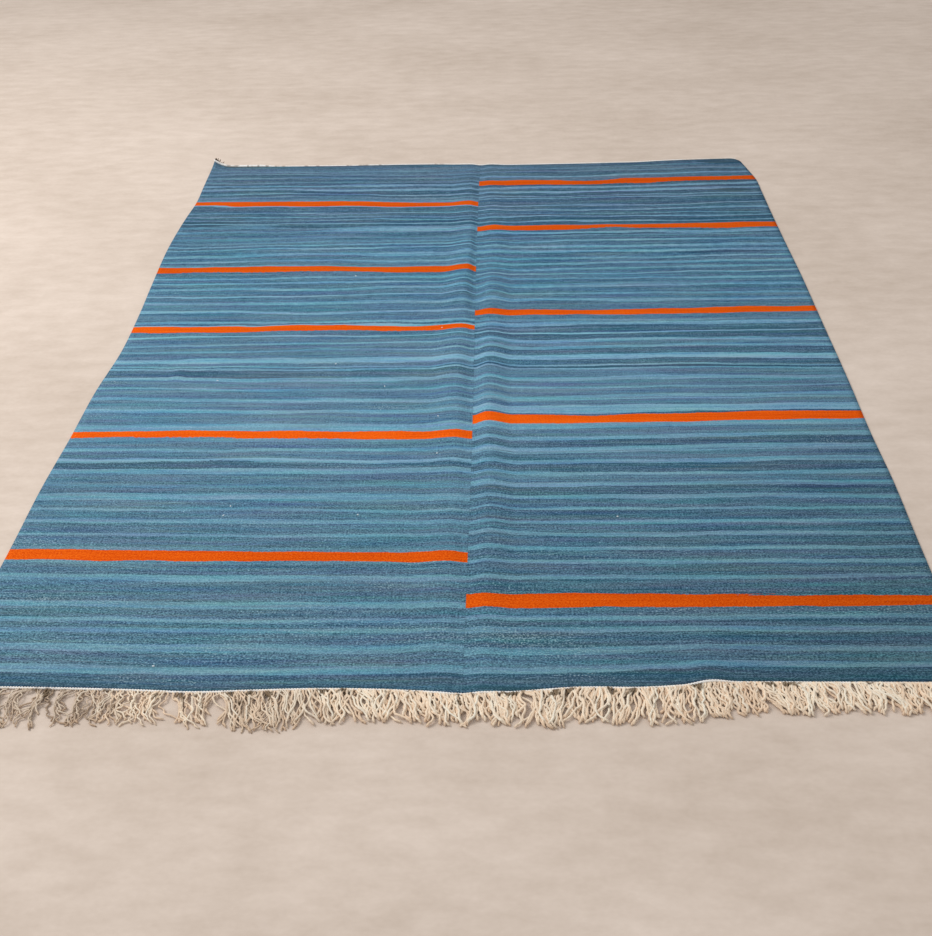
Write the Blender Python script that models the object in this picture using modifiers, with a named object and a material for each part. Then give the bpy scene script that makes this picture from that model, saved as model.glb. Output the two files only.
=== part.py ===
# Berber kilim, lying open on a floor.
# It is one flat-woven wool cloth with a soft fold down its middle, a twined end
# cord with a long cotton fringe at its near end, and a finer twined cord with
# short turned-back warp ends at its far end.
# Units are metres. X runs across the rug, Y up it from the fringed end, Z is up.
# The origin is on the floor, under the middle of the whole rug with its fringe.

import math
import random
from collections import namedtuple

import bmesh
import bpy
import numpy as np

# Driving sizes
CLOTH_LENGTH = 2.500        # near end to far end, along the middle
CLOTH_THICKNESS = 0.003
NEAR_END_Y = -1.198         # where the cloth's near end lies in the part's frame
PIECE_GAP = 0.0004          # left between a cord and the cloth's edge

FOLD_OUTER_LEFT = 0.080     # how far the left ridge runs out from its crest
FOLD_OUTER_RIGHT = 0.066    # the same for the right ridge
CORNER_ACROSS = 0.078       # size of the curled corner along the far end
CORNER_UP = 0.098           # and along the left side
CORNER_LIFT = 0.025         # how high its tip stands

NEAR_CORD_DEPTH = 0.0050
NEAR_CORD_HEIGHT = 0.0042
NEAR_STRANDS = 190
NEAR_SECTIONS = 4           # lengths of which a fringe strand is made
NEAR_UNEVEN = 0.08          # how far a strand's reach strays, as a share of it
NEAR_SWAY = 0.0015          # how far a strand strays sideways

FAR_CORD_DEPTH = 0.0042
FAR_CORD_HEIGHT = 0.0034
FAR_STRANDS = 56
FAR_SECTIONS = 2
FAR_UNEVEN = 0.35
FAR_SWAY = 0.0040

ROOT_SHARE = 0.42           # share of the pitch that a strand's root takes
STRAND_FALL = 0.60          # how steeply a strand comes down from a raised edge
TIP_TAPER = 0.20            # how much lower a strand is at its tip
FRINGE_SEED = 11

# The two sides: distance up the rug, then how far each side stands from X = 0.
Side = namedtuple("Side", "up left right")
SIDES = (
    Side(0.00, 1.003, 0.992),
    Side(0.40, 1.002, 0.998),
    Side(0.60, 1.005, 1.003),
    Side(0.80, 1.000, 1.001),
    Side(1.00, 0.998, 1.004),
    Side(1.20, 0.985, 1.005),
    Side(1.40, 0.989, 1.005),
    Side(1.60, 1.000, 1.006),
    Side(1.85, 1.010, 1.002),
    Side(2.05, 1.005, 1.000),
    Side(2.20, 0.996, 1.000),
    Side(2.31, 1.000, 0.999),
    Side(2.40, 1.003, 0.985),
    Side(2.50, 1.005, 0.967),
)

# The two ends: place across, then how far each end runs past its straight line,
# up the rug when the number is positive.
End = namedtuple("End", "across near far")
ENDS = (
    End(-1.00, -0.006, 0.012),
    End(-0.85, -0.007, 0.012),
    End(-0.60, -0.013, 0.009),
    End(-0.50, -0.017, 0.008),
    End(-0.40, -0.013, 0.010),
    End(-0.25, -0.008, 0.010),
    End(-0.10, -0.011, 0.005),
    End(0.00, -0.019, -0.006),
    End(0.10, -0.015, -0.007),
    End(0.25, -0.002, -0.007),
    End(0.36, -0.002, -0.005),
    End(0.43, 0.003, -0.004),
    End(0.50, 0.011, -0.002),
    End(0.58, 0.012, -0.001),
    End(0.70, 0.012, 0.010),
    End(0.85, 0.012, 0.018),
    End(1.00, 0.012, 0.022),
)

# The fold: a low trough down the middle with a ridge on each side. A row gives
# where the trough and the two crests lie across, and how high the crests are.
Fold = namedtuple("Fold", "up trough left_crest left_lift right_crest right_lift")
FOLDS = (
    Fold(0.00, 0.020, -0.024, 0.003, 0.058, 0.004),
    Fold(0.20, 0.020, -0.024, 0.004, 0.060, 0.005),
    Fold(0.40, 0.020, -0.024, 0.005, 0.064, 0.009),
    Fold(0.60, 0.020, -0.024, 0.004, 0.064, 0.009),
    Fold(0.85, 0.019, -0.026, 0.007, 0.058, 0.012),
    Fold(1.05, 0.017, -0.030, 0.010, 0.056, 0.013),
    Fold(1.22, 0.015, -0.030, 0.009, 0.060, 0.011),
    Fold(1.38, 0.013, -0.022, 0.005, 0.058, 0.005),
    Fold(1.53, 0.011, -0.024, 0.013, 0.062, 0.014),
    Fold(1.68, 0.010, -0.018, 0.010, 0.062, 0.005),
    Fold(1.85, 0.009, -0.014, 0.009, 0.070, 0.005),
    Fold(2.05, 0.008, -0.016, 0.005, 0.058, 0.004),
    Fold(2.25, 0.008, -0.024, 0.005, 0.050, 0.003),
    Fold(2.50, 0.008, -0.020, 0.003, 0.046, 0.003),
)

# Single swells: centre, half width, half length and height.
Swell = namedtuple("Swell", "across up half_across half_up lift")
SWELLS = (
    Swell(0.490, 0.000, 0.055, 0.160, 0.0070),
    Swell(-0.790, 1.085, 0.032, 0.070, 0.0045),
)

# The near fringe, by place across: how far it reaches from the cord, how far it
# leans for each metre of reach, towards +X when positive, and its strand's width.
Lock = namedtuple("Lock", "across reach lean width")
NEAR_FRINGE = (
    Lock(-1.00, 0.098, 0.04, 0.0034),
    Lock(-0.85, 0.110, 0.04, 0.0034),
    Lock(-0.79, 0.116, 0.04, 0.0034),
    Lock(-0.72, 0.105, 0.10, 0.0034),
    Lock(-0.62, 0.092, 0.06, 0.0038),
    Lock(-0.56, 0.098, 0.12, 0.0040),
    Lock(-0.48, 0.086, 0.36, 0.0040),
    Lock(-0.38, 0.101, 0.32, 0.0042),
    Lock(-0.30, 0.094, 0.30, 0.0042),
    Lock(-0.22, 0.083, 0.38, 0.0042),
    Lock(-0.13, 0.078, 0.33, 0.0042),
    Lock(-0.05, 0.080, 0.20, 0.0042),
    Lock(0.04, 0.074, 0.24, 0.0042),
    Lock(0.12, 0.082, 0.08, 0.0042),
    Lock(0.19, 0.090, -0.02, 0.0042),
    Lock(0.27, 0.084, -0.20, 0.0042),
    Lock(0.34, 0.090, -0.18, 0.0042),
    Lock(0.43, 0.091, -0.02, 0.0042),
    Lock(0.50, 0.084, 0.14, 0.0042),
    Lock(0.58, 0.076, 0.22, 0.0042),
    Lock(0.65, 0.080, 0.14, 0.0042),
    Lock(0.72, 0.074, 0.22, 0.0042),
    Lock(0.82, 0.076, 0.16, 0.0042),
    Lock(1.00, 0.080, 0.06, 0.0042),
)

# The far end's short warp ends, read the same way.
FAR_FRINGE = (
    Lock(-1.00, 0.016, 0.10, 0.0032),
    Lock(-0.90, 0.009, 0.20, 0.0030),
    Lock(-0.40, 0.007, 0.15, 0.0030),
    Lock(0.20, 0.007, -0.10, 0.0030),
    Lock(0.29, 0.013, 0.10, 0.0030),
    Lock(0.40, 0.007, 0.20, 0.0030),
    Lock(1.00, 0.006, 0.10, 0.0030),
)

# The cloth's mesh: from one place to the next in a number of equal steps,
# across as a share of the half width and up as a share of the length.
Span = namedtuple("Span", "start end steps")
COLUMN_SPANS = (
    Span(-1.000, -0.920, 4),
    Span(-0.920, -0.740, 4),
    Span(-0.740, -0.125, 6),
    Span(-0.125, 0.130, 15),
    Span(0.130, 0.430, 3),
    Span(0.430, 0.550, 5),
    Span(0.550, 1.000, 5),
)
ROW_SPANS = (
    Span(0.000, 0.060, 4),
    Span(0.060, 0.408, 7),
    Span(0.408, 0.460, 5),
    Span(0.460, 0.960, 12),
    Span(0.960, 1.000, 4),
)


def clear_scene():
    for thing in list(bpy.data.objects):
        bpy.data.objects.remove(thing, do_unlink=True)


def make_collection(name):
    collection = bpy.data.collections.new(name)
    bpy.context.scene.collection.children.link(collection)
    return collection


def make_material(name, color, roughness):
    material = bpy.data.materials.new(name)
    material.use_nodes = True
    shader = material.node_tree.nodes["Principled BSDF"]
    shader.inputs["Base Color"].default_value = (*color, 1.0)
    shader.inputs["Roughness"].default_value = roughness
    shader.inputs["Metallic"].default_value = 0.0
    return material


def read_table(rows, place_column, value_column, place):
    # A smooth curve through one column of a table, read at one place.
    places = [getattr(row, place_column) for row in rows]
    values = [getattr(row, value_column) for row in rows]
    slopes = np.gradient(values, places)
    place = min(max(place, places[0]), places[-1])
    index = int(np.searchsorted(places, place, side="right")) - 1
    index = min(index, len(rows) - 2)
    span = places[index + 1] - places[index]
    share = (place - places[index]) / span
    rest = 1.0 - share
    value = values[index] * rest * rest * (1.0 + 2.0 * share)
    value += values[index + 1] * share * share * (3.0 - 2.0 * share)
    value += slopes[index] * span * share * rest * rest
    value -= slopes[index + 1] * span * share * share * rest
    return float(value)


def soft_step(share):
    # 1 at the crest, 0 from one spread away, level at both.
    return 0.5 * (1.0 + math.cos(math.pi * min(abs(share), 1.0)))


def ridge(across, crest, spread_left, spread_right):
    spread = spread_left if across < crest else spread_right
    return soft_step((across - crest) / spread)


def fold_lift(across, up):
    trough = read_table(FOLDS, "up", "trough", up)
    left_crest = read_table(FOLDS, "up", "left_crest", up)
    right_crest = read_table(FOLDS, "up", "right_crest", up)
    left_lift = read_table(FOLDS, "up", "left_lift", up)
    right_lift = read_table(FOLDS, "up", "right_lift", up)
    left = ridge(across, left_crest, FOLD_OUTER_LEFT, trough - left_crest)
    right = ridge(across, right_crest, right_crest - trough, FOLD_OUTER_RIGHT)
    return left * left_lift + right * right_lift


def swell_lift(across, up):
    lift = 0.0
    for swell in SWELLS:
        along_x = soft_step((across - swell.across) / swell.half_across)
        along_y = soft_step((up - swell.up) / swell.half_up)
        lift += swell.lift * along_x * along_y
    return lift


def corner_lift(across, up):
    # The far left corner rolls up beyond a slanting line.
    corner_across = -SIDES[-1].left
    corner_up = CLOTH_LENGTH + ENDS[0].far
    near_side = 1.0 - (across - corner_across) / CORNER_ACROSS
    near_end = 1.0 - (corner_up - up) / CORNER_UP
    beyond = max(near_side + near_end - 1.0, 0.0)
    return CORNER_LIFT * beyond * beyond


def cloth_lift(across, up):
    # Height of the cloth's underside above the floor.
    return fold_lift(across, up) + swell_lift(across, up) + corner_lift(across, up)


def cloth_point(column, row):
    # From shares of the half width and of the length to a place on the floor plan.
    up = row * CLOTH_LENGTH
    side = "left" if column < 0.0 else "right"
    across = column * read_table(SIDES, "up", side, up)
    up += (1.0 - row) * read_table(ENDS, "across", "near", across)
    up += row * read_table(ENDS, "across", "far", across)
    return across, up


def stations(spans):
    places = [spans[0].start]
    for span in spans:
        step = (span.end - span.start) / span.steps
        places += [span.start + step * (index + 1) for index in range(span.steps)]
    return places


def grid_index(coordinate, count):
    # Which of count evenly spaced grid lines from -1 to 1 a coordinate lies on.
    return round((coordinate + 1.0) / 2.0 * (count - 1))


def finish_object(name, bm, collection, material):
    mesh = bpy.data.meshes.new(name)
    bm.to_mesh(mesh)
    bm.free()
    mesh.materials.append(material)
    thing = bpy.data.objects.new(name, mesh)
    thing.location = (0.0, NEAR_END_Y, 0.0)
    collection.objects.link(thing)
    return thing


def build_cloth(collection, material):
    columns = stations(COLUMN_SPANS)
    rows = stations(ROW_SPANS)
    bm = bmesh.new()
    bmesh.ops.create_grid(bm, x_segments=len(columns) - 1, y_segments=len(rows) - 1, size=1.0)
    for vertex in bm.verts:
        column = columns[grid_index(vertex.co.x, len(columns))]
        row = rows[grid_index(vertex.co.y, len(rows))]
        across, up = cloth_point(column, row)
        vertex.co = (across, up, cloth_lift(across, up))
    cloth = finish_object("kilim_cloth", bm, collection, material)
    solidify = cloth.modifiers.new("thickness", "SOLIDIFY")
    solidify.thickness = CLOTH_THICKNESS
    solidify.offset = 1.0
    return cloth


def edge_line(row):
    # The cloth's own end edge, straight between its mesh columns.
    points = [cloth_point(column, row) for column in stations(COLUMN_SPANS)]
    across = [point[0] for point in points]
    up = [point[1] for point in points]
    return across, up


def make_strands(count, table, row, uneven, sway):
    # One record a strand: where its root lies, how far it reaches, how it leans.
    rng = random.Random(FRINGE_SEED + count)
    edge_across, _ = edge_line(row)
    pitch = (edge_across[-1] - edge_across[0]) / count
    strands = []
    for index in range(count):
        across = edge_across[0] + (index + 0.5) * pitch
        reach = read_table(table, "across", "reach", across)
        strands.append({
            "across": across,
            "root": pitch * ROOT_SHARE / 2.0,
            "reach": reach * rng.uniform(1.0 - uneven, 1.0 + uneven),
            "lean": read_table(table, "across", "lean", across),
            "half_width": read_table(table, "across", "width", across) / 2.0,
            "sway": rng.uniform(-sway, sway),
            "bend": rng.uniform(-sway, sway),
        })
    return strands


def strand_point(strand, share, side, level, front, root_lift, height, outward):
    # One corner of a strand's section: share runs from its root to its tip.
    run = strand["reach"] * share
    across = strand["across"] + strand["lean"] * run
    across += strand["sway"] * share + strand["bend"] * math.sin(math.pi * share)
    turn = math.atan(strand["lean"])
    across += side * strand["half_width"] * math.cos(turn)
    up = front + outward * (run - side * strand["half_width"] * math.sin(turn))
    underside = max(root_lift - STRAND_FALL * run, 0.0)
    return across, up, underside + level * height * (1.0 - TIP_TAPER * share)


def build_fringe(name, row, outward, depth, height, strands, sections, collection, material):
    # A cord that follows the cloth's end edge. Every second face of its outer
    # side is drawn out, length by length, into a strand that lies on the floor.
    edge_across, edge_up = edge_line(row)
    line_count = 2 * len(strands) + 2
    lines = [edge_across[0]]
    for strand in strands:
        lines += [strand["across"] - strand["root"], strand["across"] + strand["root"]]
    lines.append(edge_across[-1])

    bm = bmesh.new()
    bmesh.ops.create_cube(bm, size=1.0)
    bmesh.ops.translate(bm, verts=bm.verts[:], vec=(0.5, -0.5, 0.5))
    bmesh.ops.scale(bm, verts=bm.verts[:], vec=(line_count - 1, 1.0, 1.0))
    for line in range(1, line_count - 1):
        geometry = bm.verts[:] + bm.edges[:] + bm.faces[:]
        bmesh.ops.bisect_plane(bm, geom=geometry, plane_co=(line, 0.0, 0.0), plane_no=(1.0, 0.0, 0.0))
    tips = [
        face for face in bm.faces
        if face.normal.y < -0.9 and int(face.calc_center_median().x) % 2 == 1
    ]
    for _ in range(sections):
        drawn = bmesh.ops.extrude_discrete_faces(bm, faces=tips)
        tips = drawn["faces"]
        moved = [vertex for face in tips for vertex in face.verts]
        bmesh.ops.translate(bm, verts=moved, vec=(0.0, -1.0, 0.0))

    for vertex in bm.verts:
        line = round(vertex.co.x)
        step = round(-vertex.co.y)
        level = round(vertex.co.z)
        across = lines[line]
        edge = float(np.interp(across, edge_across, edge_up))
        if step <= 1:
            up = edge + outward * (PIECE_GAP + step * depth)
            vertex.co = (across, up, cloth_lift(across, edge) + level * height)
        else:
            strand = strands[(line - 1) // 2]
            side = -1.0 if line % 2 == 1 else 1.0
            front = edge + outward * (PIECE_GAP + depth)
            root_lift = cloth_lift(strand["across"], edge)
            share = (step - 1) / sections
            vertex.co = strand_point(strand, share, side, level, front, root_lift, height, outward)
    bmesh.ops.recalc_face_normals(bm, faces=bm.faces[:])
    return finish_object(name, bm, collection, material)


def build_near_fringe(collection, material):
    strands = make_strands(NEAR_STRANDS, NEAR_FRINGE, 0.0, NEAR_UNEVEN, NEAR_SWAY)
    return build_fringe(
        "near_fringe", 0.0, -1.0, NEAR_CORD_DEPTH, NEAR_CORD_HEIGHT,
        strands, NEAR_SECTIONS, collection, material,
    )


def build_far_fringe(collection, material):
    strands = make_strands(FAR_STRANDS, FAR_FRINGE, 1.0, FAR_UNEVEN, FAR_SWAY)
    return build_fringe(
        "far_fringe", 1.0, 1.0, FAR_CORD_DEPTH, FAR_CORD_HEIGHT,
        strands, FAR_SECTIONS, collection, material,
    )


def build_kilim():
    clear_scene()
    collection = make_collection("berber_kilim")
    wool = make_material("blue_wool", (0.110, 0.200, 0.300), 0.90)
    cream_cotton = make_material("cream_cotton", (0.680, 0.580, 0.450), 0.90)
    white_cotton = make_material("white_cotton", (0.720, 0.660, 0.560), 0.90)
    build_cloth(collection, wool)
    build_near_fringe(collection, cream_cotton)
    build_far_fringe(collection, white_cotton)


build_kilim()
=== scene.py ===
import math
from collections import namedtuple

import bmesh
import bpy
import numpy as np
from mathutils import Matrix, Vector


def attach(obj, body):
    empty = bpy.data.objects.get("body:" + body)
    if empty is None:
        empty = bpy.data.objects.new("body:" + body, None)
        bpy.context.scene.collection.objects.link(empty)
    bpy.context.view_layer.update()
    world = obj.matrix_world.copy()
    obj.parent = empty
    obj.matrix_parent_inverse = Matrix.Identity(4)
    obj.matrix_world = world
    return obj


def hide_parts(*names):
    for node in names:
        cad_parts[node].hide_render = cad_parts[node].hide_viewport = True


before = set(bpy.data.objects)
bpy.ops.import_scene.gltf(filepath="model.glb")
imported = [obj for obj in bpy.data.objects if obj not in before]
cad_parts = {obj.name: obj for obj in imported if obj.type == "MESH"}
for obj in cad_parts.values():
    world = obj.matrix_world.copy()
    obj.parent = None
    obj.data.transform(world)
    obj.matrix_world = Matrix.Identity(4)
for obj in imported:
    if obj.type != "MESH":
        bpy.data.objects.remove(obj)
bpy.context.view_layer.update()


def table(columns, *rows, defaults=()):
    # rows of values with named columns
    kind = namedtuple("Row", columns, defaults=defaults)
    return tuple(kind(*row) for row in rows)


# the cloth's lie: outline, fold and swells, the same sizes as the solids under it

lie = {
    "length": 2.500,
    "thickness": 0.0030,
    "nearEnd": -1.198,        # Y of the cloth's near end
    "foldOuterLeft": 0.080,
    "foldOuterRight": 0.066,
    "cornerAcross": 0.078,
    "cornerUp": 0.098,
    "cornerLift": 0.025,
    "cornerCurl": 0.40,       # how far inward the curling corner moves for each metre that it rises
    "roundReach": 0.034,      # the far right corner is worn round over this length of its edges
    "roundCut": 0.009,
}

sides = table(
    "up left right",
    (0.00, 1.003, 0.992),
    (0.40, 1.002, 0.998),
    (0.60, 1.005, 1.003),
    (0.80, 1.000, 1.001),
    (1.00, 0.998, 1.004),
    (1.20, 0.985, 1.005),
    (1.40, 0.989, 1.005),
    (1.60, 1.000, 1.006),
    (1.85, 1.010, 1.002),
    (2.05, 1.005, 1.000),
    (2.20, 0.996, 1.000),
    (2.31, 1.000, 0.999),
    (2.40, 1.003, 0.985),
    (2.50, 1.005, 0.967),
)

ends = table(
    "across near far",
    (-1.00, -0.006, 0.012),
    (-0.85, -0.007, 0.012),
    (-0.60, -0.013, 0.009),
    (-0.50, -0.017, 0.008),
    (-0.40, -0.013, 0.010),
    (-0.25, -0.008, 0.010),
    (-0.10, -0.011, 0.005),
    (0.00, -0.019, -0.006),
    (0.10, -0.015, -0.007),
    (0.25, -0.002, -0.007),
    (0.36, -0.002, -0.005),
    (0.43, 0.003, -0.004),
    (0.50, 0.011, -0.002),
    (0.58, 0.012, -0.001),
    (0.70, 0.012, 0.010),
    (0.85, 0.012, 0.018),
    (1.00, 0.012, 0.022),
)

folds = table(
    "up trough leftCrest leftLift rightCrest rightLift",
    (0.00, 0.020, -0.024, 0.003, 0.058, 0.004),
    (0.20, 0.020, -0.024, 0.004, 0.060, 0.005),
    (0.40, 0.020, -0.024, 0.005, 0.064, 0.009),
    (0.60, 0.020, -0.024, 0.004, 0.064, 0.009),
    (0.85, 0.019, -0.026, 0.007, 0.058, 0.012),
    (1.05, 0.017, -0.030, 0.010, 0.056, 0.013),
    (1.22, 0.015, -0.030, 0.009, 0.060, 0.011),
    (1.38, 0.013, -0.022, 0.005, 0.058, 0.005),
    (1.53, 0.011, -0.024, 0.013, 0.062, 0.014),
    (1.68, 0.010, -0.018, 0.010, 0.062, 0.005),
    (1.85, 0.009, -0.014, 0.009, 0.070, 0.005),
    (2.05, 0.008, -0.016, 0.005, 0.058, 0.004),
    (2.25, 0.008, -0.024, 0.005, 0.050, 0.003),
    (2.50, 0.008, -0.020, 0.003, 0.046, 0.003),
)

swells = table(
    "across up halfAcross halfUp lift",
    (0.490, 0.000, 0.055, 0.160, 0.0070),
    (-0.790, 1.085, 0.032, 0.070, 0.0045),
)


def readTable(rows, placeColumn, valueColumn, place):
    # smooth curve through one column of a table, read at one place or an array of them
    places = np.array([getattr(row, placeColumn) for row in rows])
    values = np.array([getattr(row, valueColumn) for row in rows])
    slopes = np.gradient(values, places)
    place = np.clip(place, places[0], places[-1])
    index = np.clip(np.searchsorted(places, place, side="right") - 1, 0, len(rows) - 2)
    span = places[index + 1] - places[index]
    share = (place - places[index]) / span
    rest = 1.0 - share
    value = values[index] * rest * rest * (1.0 + 2.0 * share)
    value = value + values[index + 1] * share * share * (3.0 - 2.0 * share)
    value = value + slopes[index] * span * share * rest * rest
    return value - slopes[index + 1] * span * share * share * rest


def softStep(share):
    return 0.5 * (1.0 + np.cos(np.pi * np.minimum(np.abs(share), 1.0)))


def ridge(across, crest, spreadLeft, spreadRight):
    return softStep((across - crest) / np.where(across < crest, spreadLeft, spreadRight))


def foldLift(across, up):
    trough = readTable(folds, "up", "trough", up)
    leftCrest = readTable(folds, "up", "leftCrest", up)
    rightCrest = readTable(folds, "up", "rightCrest", up)
    left = ridge(across, leftCrest, lie["foldOuterLeft"], trough - leftCrest)
    right = ridge(across, rightCrest, rightCrest - trough, lie["foldOuterRight"])
    left = left * readTable(folds, "up", "leftLift", up)
    return left + right * readTable(folds, "up", "rightLift", up)


def swellLift(across, up):
    lift = 0.0
    for swell in swells:
        alongX = softStep((across - swell.across) / swell.halfAcross)
        alongY = softStep((up - swell.up) / swell.halfUp)
        lift = lift + swell.lift * alongX * alongY
    return lift


def cornerLift(across, up):
    nearSide = 1.0 - (across + sides[-1].left) / lie["cornerAcross"]
    nearEnd = 1.0 - (lie["length"] + ends[0].far - up) / lie["cornerUp"]
    beyond = np.maximum(nearSide + nearEnd - 1.0, 0.0)
    return lie["cornerLift"] * beyond * beyond


def curlIn(across, up):
    # the curling corner's own shift towards the middle
    return across + lie["cornerCurl"] * cornerLift(across, up)


def clothLift(across, up):
    # height of the cloth's underside above the floor
    return foldLift(across, up) + swellLift(across, up) + cornerLift(across, up)


def clothPoint(column, row):
    # shares of the half width and of the length to across and up
    up = row * lie["length"]
    half = np.where(column < 0.0, readTable(sides, "up", "left", up), readTable(sides, "up", "right", up))
    across = column * half
    up = up + (1.0 - row) * readTable(ends, "across", "near", across)
    up = up + row * readTable(ends, "across", "far", across)
    fromSide = np.clip(1.0 - (1.0 - column) * half / lie["roundReach"], 0.0, 1.0)
    fromEnd = np.clip(1.0 - (1.0 - row) * lie["length"] / lie["roundReach"], 0.0, 1.0)
    cut = lie["roundCut"] * (fromSide * fromEnd) ** 2
    return across - cut, up - cut


def clothEnd(row, count):
    # an end edge of the cloth as arrays of across and up
    return clothPoint(np.linspace(-1.0, 1.0, count), np.full(count, row))


# small helpers for meshes

def meshPiece(name, bm, material):
    mesh = bpy.data.meshes.new(name)
    bm.to_mesh(mesh)
    bm.free()
    mesh.materials.append(material)
    piece = bpy.data.objects.new(name, mesh)
    bpy.context.scene.collection.objects.link(piece)
    return piece


def pointsOf(mesh):
    flat = np.empty(len(mesh.vertices) * 3)
    mesh.vertices.foreach_get("co", flat)
    return flat.reshape(-1, 3)


def movePoints(mesh, points):
    mesh.vertices.foreach_set("co", np.ascontiguousarray(points, dtype=np.float32).ravel())
    mesh.update()


def addUv(mesh, name, u, v):
    # one UV for each vertex, spread to its corners
    layer = mesh.uv_layers.new(name=name)
    corner = np.empty(len(mesh.loops), dtype=np.int32)
    mesh.loops.foreach_get("vertex_index", corner)
    layer.data.foreach_set("uv", np.stack([u[corner], v[corner]], 1).astype(np.float32).ravel())


def addPointValue(mesh, name, values):
    attribute = mesh.attributes.new(name, "FLOAT", "POINT")
    attribute.data.foreach_set("value", np.ascontiguousarray(values, dtype=np.float32))


# small helpers for materials

def linear(color):
    # an 8-bit screen colour as the renderer's own
    return tuple(((c / 255.0 + 0.055) / 1.055) ** 2.4 if c > 10 else c / 3294.6 for c in color) + (1.0,)


def newNode(tree, kind, settings=None, inputs=None):
    made = tree.nodes.new("ShaderNode" + kind)
    for key, value in (settings or {}).items():
        setattr(made, key, value)
    for key, value in (inputs or {}).items():
        if isinstance(value, bpy.types.NodeSocket):
            tree.links.new(value, made.inputs[key])
        else:
            made.inputs[key].default_value = value
    return made


def calc(tree, operation, a, b=0.0):
    return newNode(tree, "Math", {"operation": operation}, {0: a, 1: b}).outputs[0]


def add(tree, *values):
    total = values[0]
    for value in values[1:]:
        total = calc(tree, "ADD", total, value)
    return total


def times(tree, *values):
    product = values[0]
    for value in values[1:]:
        product = calc(tree, "MULTIPLY", product, value)
    return product


def minus(tree, a, b):
    return calc(tree, "SUBTRACT", a, b)


def clamp(tree, value):
    # no less than 0 and no more than 1
    return newNode(tree, "Clamp", None, {0: value}).outputs[0]


def scaled(tree, vector, scale, shift=(0.0, 0.0, 0.0)):
    made = newNode(tree, "VectorMath", {"operation": "MULTIPLY_ADD"}, {0: vector, 1: scale, 2: shift})
    return made.outputs[0]


def noise(tree, vector, detail=2.0):
    made = newNode(tree, "TexNoise", None, {"Vector": vector, "Scale": 1.0, "Detail": detail})
    return made.outputs["Fac"]


def swing(tree, value, size):
    # a noise value from -size/2 to +size/2
    return times(tree, minus(tree, value, 0.5), size)


def mixColor(tree, factor, a, b, blend="MIX"):
    settings = {"data_type": "RGBA", "blend_type": blend}
    return newNode(tree, "Mix", settings, {0: factor, 6: a, 7: b}).outputs[2]


def mixValue(tree, factor, a, b):
    return newNode(tree, "Mix", {"data_type": "FLOAT"}, {0: factor, 2: a, 3: b}).outputs[0]


def ramp(tree, value, stops, interpolation="LINEAR"):
    made = newNode(tree, "ValToRGB", None, {"Fac": value})
    made.color_ramp.interpolation = interpolation
    elements = made.color_ramp.elements
    elements[0].position = stops[0][0]
    elements[0].color = stops[0][1]
    elements[1].position = stops[-1][0]
    elements[1].color = stops[-1][1]
    for place, color in stops[1:-1]:
        elements.new(place).color = color
    return made.outputs["Color"]


def newMaterial(name, roughness, sheen):
    material = bpy.data.materials.new(name)
    material.use_nodes = True
    tree = material.node_tree
    shader = tree.nodes["Principled BSDF"]
    shader.inputs["Roughness"].default_value = roughness
    shader.inputs["Specular IOR Level"].default_value = 0.04
    shader.inputs["Sheen Weight"].default_value = sheen
    shader.inputs["Sheen Roughness"].default_value = 0.6
    return material, tree, shader


# stripes, charted in millimetres up the rug

tones = {                     # how dark a yarn is dyed, and whether it is the orange one
    "deep": (0.02, 0.0),
    "navy": (0.18, 0.0),
    "dim": (0.29, 0.0),
    "slate": (0.38, 0.0),
    "soft": (0.60, 0.0),
    "light": (0.80, 0.0),
    "bright": (0.92, 0.0),
    "pale": (1.00, 0.0),
    "orange": (0.50, 1.0),
}

blues = (                     # tone to colour
    (0.00, (60, 86, 106)),
    (0.20, (81, 109, 131)),
    (0.40, (98, 125, 147)),
    (0.60, (106, 139, 161)),
    (0.80, (111, 150, 174)),
    (1.00, (134, 172, 193)),
)

flames = ((0.00, (206, 70, 6)), (0.50, (230, 90, 12)), (1.00, (246, 110, 22)))

# ground is the tone above the stripe; a row that names no tones is light on slate
leftStripes = table(
    "start end tone ground",
    (-60, 24, "navy", "navy"), (24, 45), (82, 103), (136, 148), (163, 176), (203, 221), (286, 303),
    (336, 344, "soft"), (344, 379, "orange", "soft"), (390, 425, "slate"), (425, 436), (471, 485),
    (516, 523), (552, 579), (603, 613, "soft"), (653, 675, "light", "navy"),
    (698, 705, "light", "light"), (705, 713, "pale"), (745, 757), (786, 795, "soft"),
    (795, 829, "orange", "light"), (860, 905, "slate"), (905, 920), (941, 944, "soft"), (957, 968),
    (981, 984, "soft"), (1010, 1018), (1055, 1070, "light", "navy"), (1105, 1113, "light", "navy"),
    (1117, 1124), (1143, 1167, "bright"), (1205, 1213), (1240, 1249), (1284, 1290, "pale"),
    (1312, 1343, "orange", "pale"), (1347, 1354, "navy", "navy"), (1354, 1367), (1413, 1427, "bright"),
    (1466, 1484), (1515, 1522, "pale"), (1555, 1569), (1594, 1604, "bright"), (1629, 1642),
    (1671, 1712, "orange", "light"), (1721, 1745, "slate"), (1745, 1755), (1782, 1797),
    (1829, 1839, "bright"), (1859, 1866, "bright"), (1880, 1889, "soft"), (1906, 1919, "soft"),
    (1946, 1955, "soft", "light"), (1955, 1980, "light", "soft"), (1980, 1996, "soft", "navy"),
    (2018, 2024, "pale", "navy"), (2045, 2051, "light", "dim"), (2068, 2075, "light", "dim"),
    (2100, 2107, "light", "dim"), (2150, 2156, "pale", "dim"), (2156, 2194, "orange", "soft"),
    (2209, 2227, "slate"), (2227, 2233, "soft", "navy"), (2247, 2255, "light", "navy"),
    (2284, 2300, "light", "dim"), (2318, 2330, "light", "dim"), (2352, 2362, "soft", "dim"),
    (2390, 2402, "soft", "dim"), (2425, 2435, "soft"), (2455, 2463, "soft"), (2484, 2560, "dim", "dim"),
    defaults=("light", "slate"),
)
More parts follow.
